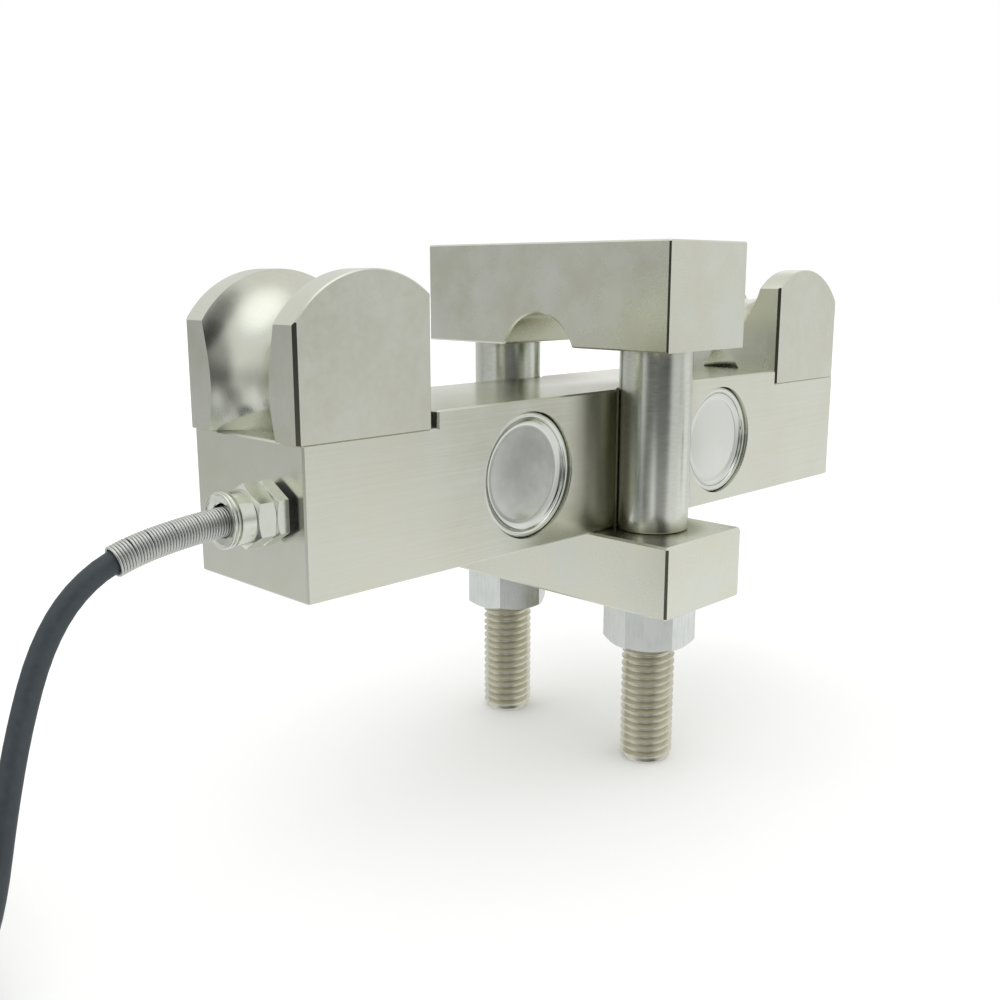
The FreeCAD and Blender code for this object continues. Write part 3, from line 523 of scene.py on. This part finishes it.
# The cable: its route, then the coil that holds the rest of its length
cable = {
    "diameter": 3.8,
    "length": 3.0,
    "route": [
        (-92.6, -8.9, 15.5), (-102.0, -8.9, 15.5), (-118.6, -8.9, 13.2), (-126.9, -8.9, 8.7),
        (-132.7, -9.1, 1.1), (-137.1, -9.8, -10.0), (-140.8, -11.0, -22.0), (-143.8, -12.0, -34.4),
        (-145.4, -7.4, -45.4), (-145.6, 3.0, -52.0), (-145.6, 15.4, -52.0),
    ],
    "coilCentre": (-176.0, 30.9),
    "coilRadii": (30.4, 26.6, 22.8, 19.0, 15.2),
    "layers": 4,
    "lowest": -52.0,
    "pointsPerTurn": 24,
    "cutsInside": 0.9915,  # a curve of order 3 is this much smaller than a circle of its points
    "risesAfter": 0.7,  # share of its last turn after which the end leaves the top layer
    "sleeve": (-180.0, 51.8, -36.5),
}


def eased(share):
    share = min(max(share, 0), 1)
    return share ** 2 * (3 - 2 * share)


def coilPoints():
    # each layer winds in or out by one diameter a turn, and its last turn climbs to the next one; the top
    # layer has no such turn: its end rises past the tie and runs inwards across the turns to its sleeve
    cx, cy = cable["coilCentre"]
    x, y, top = cable["sleeve"]
    count, pull = cable["pointsPerTurn"], 1 / cable["cutsInside"]
    radii, low = cable["coilRadii"], cable["lowest"]
    points = []

    def wind(turned, radius, height):
        angle = math.tau * turned
        points.append((cx + radius * math.cos(angle), cy + radius * math.sin(angle), height))

    for layer in range(cable["layers"]):
        lane = radii if layer % 2 == 0 else radii[::-1]
        upmost = layer + 1 == cable["layers"]
        afters = lane[1:] if upmost else lane[1:] + lane[-1:]
        under = low + layer * cable["diameter"]
        climb = top - under if upmost else cable["diameter"]
        past = cable["risesAfter"] if upmost else 0
        for turn, (radius, after) in enumerate(zip(lane, afters)):
            last = turn + 1 == len(afters)
            for index in range(count):
                share = index / count
                rise = eased((share - past) / (1 - past)) if last else 0
                wind(share, (radius + (after - radius) * eased(share)) * pull, under + climb * rise)
    quarter = count // 4
    for index in range(quarter + 1):
        share = index / quarter
        wind(share / 4, (radii[0] * pull) * (1 - eased(share)) + (y - cy) * eased(share), top)
    return points + [(x - 1, y, top)]


def makeCable():
    data = bpy.data.curves.new("cable", "CURVE")
    data.dimensions = "3D"
    data.resolution_u = 4
    spline = data.splines.new("NURBS")
    points = cable["route"] + coilPoints()
    spline.points.add(len(points) - 1)
    for point, place in zip(spline.points, points):
        point.co = (*at(*place), 1)
    spline.order_u = 3
    spline.use_endpoint_u = True
    obj = bpy.data.objects.new("cableLead", data)
    bpy.context.scene.collection.objects.link(obj)
    bare = bpy.data.meshes.new_from_object(obj)
    line = [vert.co * 1000 - Vector((0, 0, underside)) for vert in bare.vertices]
    bpy.data.meshes.remove(bare)
    data.bevel_depth = cable["diameter"] / 2000
    data.bevel_resolution = 5
    data.use_fill_caps = True
    data.materials.append(finishes["cableJacket"])
    return standIn(obj, "cable", "cable_coil"), line


cableLead, cableLine = makeCable()
print("cable: done")

bendSpring = {"wire": 0.5, "radius": 2.35, "pitch": 0.52, "start": -96.5, "end": -121.3, "steps": 20,
              "around": 8}


def makeBendSpring():
    # a wire coiled round the cable's own line
    start, end = bendSpring["start"], bendSpring["end"]
    line = [point for point in cableLine if end <= point.x <= start and point.y < 0]
    runs = [0.0]
    for before, after in zip(line, line[1:]):
        runs.append(runs[-1] + (after - before).length)
    bm = bmesh.new()
    count = int(runs[-1] / bendSpring["pitch"] * bendSpring["steps"])
    rings = []
    for index in range(count + 1):
        way = runs[-1] * index / count
        spot = next(i for i in range(len(runs) - 1) if runs[i + 1] >= way - 1e-9)
        share = (way - runs[spot]) / (runs[spot + 1] - runs[spot])
        centre = line[spot].lerp(line[spot + 1], share)
        along = (line[spot + 1] - line[spot]).normalized()
        side = along.cross(Vector((0, 1, 0))).normalized()
        angle = math.tau * index / bendSpring["steps"]
        out = side * math.cos(angle) + Vector((0, 1, 0)) * math.sin(angle)
        middle = centre + out * bendSpring["radius"]
        ring = bmesh.ops.create_circle(bm, segments=bendSpring["around"],
                                       radius=bendSpring["wire"] / 2)["verts"]
        for vert in ring:
            vert.co = middle + out * vert.co.x + along * vert.co.y
        rings.append([edge for edge in bm.edges if edge.verts[0] in ring and edge.verts[1] in ring])
    for first, second in zip(rings, rings[1:]):
        bmesh.ops.bridge_loops(bm, edges=first + second)
    bmesh.ops.holes_fill(bm, edges=[edge for edge in bm.edges if edge.is_boundary], sides=0)
    bmesh.ops.recalc_face_normals(bm, faces=bm.faces)
    return standIn(toObject(bm, "bendSpring", finishes["springSteel"], 60), "bend_spring")


rod = {"radius": 8, "length": 40, "edge": 0.5, "stud": 54.7, "thread": 6, "pitch": 1.75, "point": 1.2,
       "spigot": 16, "spacing": 45, "threadOverlap": 0.4}


def makeRod(name, side, node):
    # polished shaft between two shoulders, with a threaded stud below and a plain end inside the block
    radius, edge, length = rod["radius"], rod["edge"], rod["length"]
    bm = lathe([(0, 0)] + roundCorner((radius - edge, edge), edge, -90, 0, 4)
               + roundCorner((radius - edge, length - edge), edge, 0, 90, 4)
               + [(rod["thread"], length), (rod["thread"], length + rod["spigot"]),
                  (0, length + rod["spigot"])], 128)
    joinInto(bm, screwThread(-rod["stud"], rod["threadOverlap"], rod["thread"], rod["pitch"], rod["point"]))
    move(bm, place=(0, side * rod["spacing"] / 2, 0))
    obj = toObject(bm, name, finishes["rodSteel"])
    obj.data.materials.append(finishes["studNickel"])
    for face in obj.data.polygons:
        face.material_index = int(face.center.z * 1000 < underside)
    return standIn(obj, node)


cover = {"radius": 13, "bead": 0.75, "sheet": 0.6, "dish": 10.1, "depth": 1.25, "skirt": 2.3, "crown": 0.12,
         "recess": 0.7, "spacing": 68.8, "height": 15.5, "face": 17,
         "toeOut": (0.35, 0.65), "toeUp": (0.06, 0.2), "gap": 0.1, "underside": 0.4}


def makeCover(name, along, side, node):
    # pressed cup: flat dish with a slight crown, sloping wall, rolled rim, skirt; one sheet thick
    radius, bead, sheet, dish, depth = (cover[word] for word in ("radius", "bead", "sheet", "dish", "depth"))
    middle = radius - bead
    crown = [(dish * i / 12, -depth + cover["crown"] * math.cos(math.pi / 2 * i / 12)) for i in range(12)]
    toe = [(dish + out, -depth + up) for out, up in zip(cover["toeOut"], cover["toeUp"])]
    slope = [(dish, -depth)] + toe + [(middle - bead - cover["gap"], -bead - cover["gap"])]
    outer = roundCorner((middle, -bead), bead, 175, 0, 12)
    inner = roundCorner((middle, -bead), bead - sheet, 0, 175, 4)
    bm = lathe(crown + slope + outer + [(radius, -cover["skirt"]), (radius - sheet, -cover["skirt"])] + inner
               + [(dish + cover["underside"], -depth - sheet), (0, -depth - sheet)], 128)
    move(bm, (-90 * side, "X"),
         (along * cover["spacing"] / 2, side * (cover["face"] - cover["recess"]), cover["height"]))
    return standIn(toObject(bm, name, finishes["coverSteel"], 60), node)


nut = {"flats": 18, "height": 10.8, "face": 8.5, "bore": 5.05, "top": -16}


def makeNut(name, side, turn, node):
    bm = hexBlank(nut["flats"], nut["height"], nut["face"], nut["bore"])
    move(bm, (turn - 30, "Z"), (0, side * rod["spacing"] / 2, nut["top"] - nut["height"]))
    return standIn(toObject(bm, name, finishes["nutZinc"], 20), node)


gland = {
    "place": (-90, -8.9, 15.5), "flats": 10, "face": 4.85, "flangeStart": 1.0, "flange": 2.4, "flangeBore": 3.2,
    # the body's turned profile, radius and height
    "body": [(2.2, -8), (4, -8), (4, 1.2), (3.75, 1.2), (3.75, 6.4), (3.1, 6.4), (3.1, 1.8), (2.2, 1.8)],
    "capStart": 3.5, "capHex": 3.6, "capBore": 3.8, "barrel": 4.7, "barrelInset": 3, "barrelEnd": 10.0,
    "edge": 0.15, "relief": 0.35, "reliefEnd": 1.3, "lip": 4.85, "lipStart": 1.02, "end": 11.55, "mouth": 4.3,
    "flare": 0.1, "throat": (0.2, 0.55), "depth": 0.7, "bore": 2.9,
}


def toGland(bm):
    move(bm, (-90, "Y"), gland["place"])


def makeGland():
    # hexagonal body, and a cap with a turned barrel, a groove and a lip rolled round its flared mouth
    body = bmesh.new()
    flange = hexBlank(gland["flats"], gland["flange"], gland["face"], gland["flangeBore"], both=False)
    move(flange, (30, "Z"), (0, 0, gland["flangeStart"]))
    joinInto(body, flange)
    joinInto(body, lathe(gland["body"], 64, closed=True))
    toGland(body)
    cap = bmesh.new()
    hexagon = hexBlank(gland["flats"], gland["capHex"], gland["face"], gland["capBore"])
    move(hexagon, (30, "Z"), (0, 0, gland["capStart"]))
    joinInto(cap, hexagon)
    start, barrel, barrelEnd = gland["capStart"] + gland["barrelInset"], gland["barrel"], gland["barrelEnd"]
    end, lip, bore, flare = gland["end"], gland["lip"], gland["bore"], gland["flare"]
    neck, half = barrel - gland["relief"], (lip - gland["mouth"]) / 2
    wider, deeper = gland["throat"]
    rim = (roundCorner((lip - half, end - gland["lipStart"]), half, -75, 75, 6)
           + roundCorner((lip - half, end - half), half, -60, 90, 7)
           + roundCorner((lip - half, end - half), half, 100, 180, 5))
    joinInto(cap, lathe([(bore, start), (barrel, start), (barrel, barrelEnd - gland["edge"]), (neck, barrelEnd),
                         (neck, end - gland["reliefEnd"])] + rim
                        + [(gland["mouth"] - flare, end - half - flare), (bore + wider, end - deeper),
                           (bore, end - gland["depth"])], 96, closed=True))
    toGland(cap)
    return [standIn(toObject(body, "glandBody", finishes["glandNickel"], 25), "gland_body"),
            standIn(toObject(cap, "glandCap", finishes["glandNickel"], 25), "gland_nut")]


tie = {"centre": (-198.8, 30.9, -46.3), "thick": 0.8, "width": 4.8, "across": 19.2, "high": 15.2,
       "corner": 2.4, "cornerSteps": 5}


def makeTie():
    # a nylon strap round the coil's section, with rounded corners
    bm = bmesh.new()
    bmesh.ops.create_grid(bm, x_segments=1, y_segments=1, size=0.5)
    outer = (tie["across"] + 2 * tie["thick"], tie["high"] + 2 * tie["thick"], 1)
    bmesh.ops.scale(bm, verts=bm.verts, vec=outer)
    bmesh.ops.bevel(bm, geom=list(bm.verts), offset=tie["corner"], segments=tie["cornerSteps"], profile=0.5,
                    affect="VERTICES", material=-1)
    # a lone face is inset only with use_boundary
    bmesh.ops.inset_region(bm, faces=list(bm.faces), thickness=tie["thick"], use_boundary=True,
                           use_even_offset=True)
    middle = max(bm.faces, key=lambda face: len(face.edges))
    bmesh.ops.delete(bm, geom=[middle], context="FACES")
    raised = bmesh.ops.extrude_face_region(bm, geom=list(bm.faces))["geom"]
    bmesh.ops.translate(bm, verts=[item for item in raised if isinstance(item, bmesh.types.BMVert)],
                        vec=(0, 0, tie["width"]))
    bmesh.ops.translate(bm, verts=bm.verts, vec=(0, 0, -tie["width"] / 2))
    bmesh.ops.recalc_face_normals(bm, faces=bm.faces)
    move(bm, (90, "X"), tie["centre"])
    return standIn(toObject(bm, "cableTie", finishes["tieNylon"]), "cable_tie")


freeEnd = {"sleeve": 8, "radius": 2.2, "inner": 0.3, "outer": 0.6, "lead": 11, "core": 0.6, "spread": 1.1,
           "hidden": 0.2, "bareLength": 4, "coreEdge": 0.1, "strand": 0.36}


def makeFreeEnd():
    # heat-shrink sleeve over the cable's end, then four cores, stripped and tinned
    x, y, height = cable["sleeve"]
    length, radius, hidden, edge = (freeEnd[word] for word in ("sleeve", "radius", "hidden", "coreEdge"))
    inner, outer = freeEnd["inner"], freeEnd["outer"]
    bm = lathe([(0, 0)] + roundCorner((radius - inner, inner), inner, -90, 0, 4)
               + roundCorner((radius - outer, length - outer), outer, 0, 90, 5) + [(0, length)], 48)
    move(bm, (-90, "Y"), (x, y, height))
    made = [standIn(toObject(bm, "endSleeve", finishes["sealRubber"]), "end_sleeve")]
    core, lead, spread, strandRadius = (freeEnd[word] for word in ("core", "lead", "spread", "strand"))
    jacketEnd = lead - freeEnd["bareLength"]
    bare = bmesh.new()
    for index, colour in enumerate(("redCore", "greenCore", "blackCore", "whiteCore")):
        side, rise = (1, -1)[index % 2], (1, -1)[index // 2]
        place = (x - length + hidden, y + side * core * spread, height + rise * core * spread)
        jacket = lathe([(0, 0), (core, 0)] + roundCorner((core - edge, jacketEnd), edge, 0, 90, 3)
                       + [(0, jacketEnd + edge)], 20)
        move(jacket, (-90, "Y"), place)
        made.append(standIn(toObject(jacket, colour + "Lead", finishes[colour]), "bare_leads"))
        strand = lathe([(0, jacketEnd - hidden), (strandRadius, jacketEnd - hidden)]
                       + roundCorner((strandRadius - edge, lead - hidden - edge), edge, 0, 90, 3)
                       + [(0, lead - hidden)], 16)
        move(strand, (-90, "Y"), place)
        joinInto(bare, strand)
    made.append(standIn(toObject(bare, "tinnedEnds", finishes["tinnedCopper"]), "bare_leads"))
    return made


makeBendSpring()
print("bend spring: done")
for name, side, turn in (("Front", -1, 6.3), ("Rear", 1, 33.5)):
    makeRod("clampRod" + name, side, "clamp_rod_" + name.lower())
    makeNut("nut" + name, side, turn, "nut_" + name.lower())
    for word, along in (("Left", -1), ("Right", 1)):
        makeCover("cover" + name + word, along, side, f"cover_{name.lower()}_{word.lower()}")
print("rods, nuts and covers: done")
makeGland()
tiePiece = makeTie()
freeEndPieces = makeFreeEnd()
print("gland, tie and free end: done")

kept = {
    "load_beam": "beamSteel", "saddle_left": "saddleSteel", "saddle_right": "saddleSteel",
    "saddle_screws_left": "screwBlack", "saddle_screws_right": "screwBlack", "clamp_block": "blockSteel",
    "clamp_bar": "barSteel", "gauge_front_left": "gaugeFoil", "gauge_front_right": "gaugeFoil",
    "gauge_rear_left": "gaugeFoil", "gauge_rear_right": "gaugeFoil", "terminal_board": "boardLaminate",
    "bridge_wires": "redCore", "gland_seal": "sealRubber", "gland_grommet": "sealRubber",
}
for node, finish in kept.items():
    mesh = nodes[node].data
    mesh.materials.clear()
    mesh.materials.append(finishes[finish])
print("finishes: done")
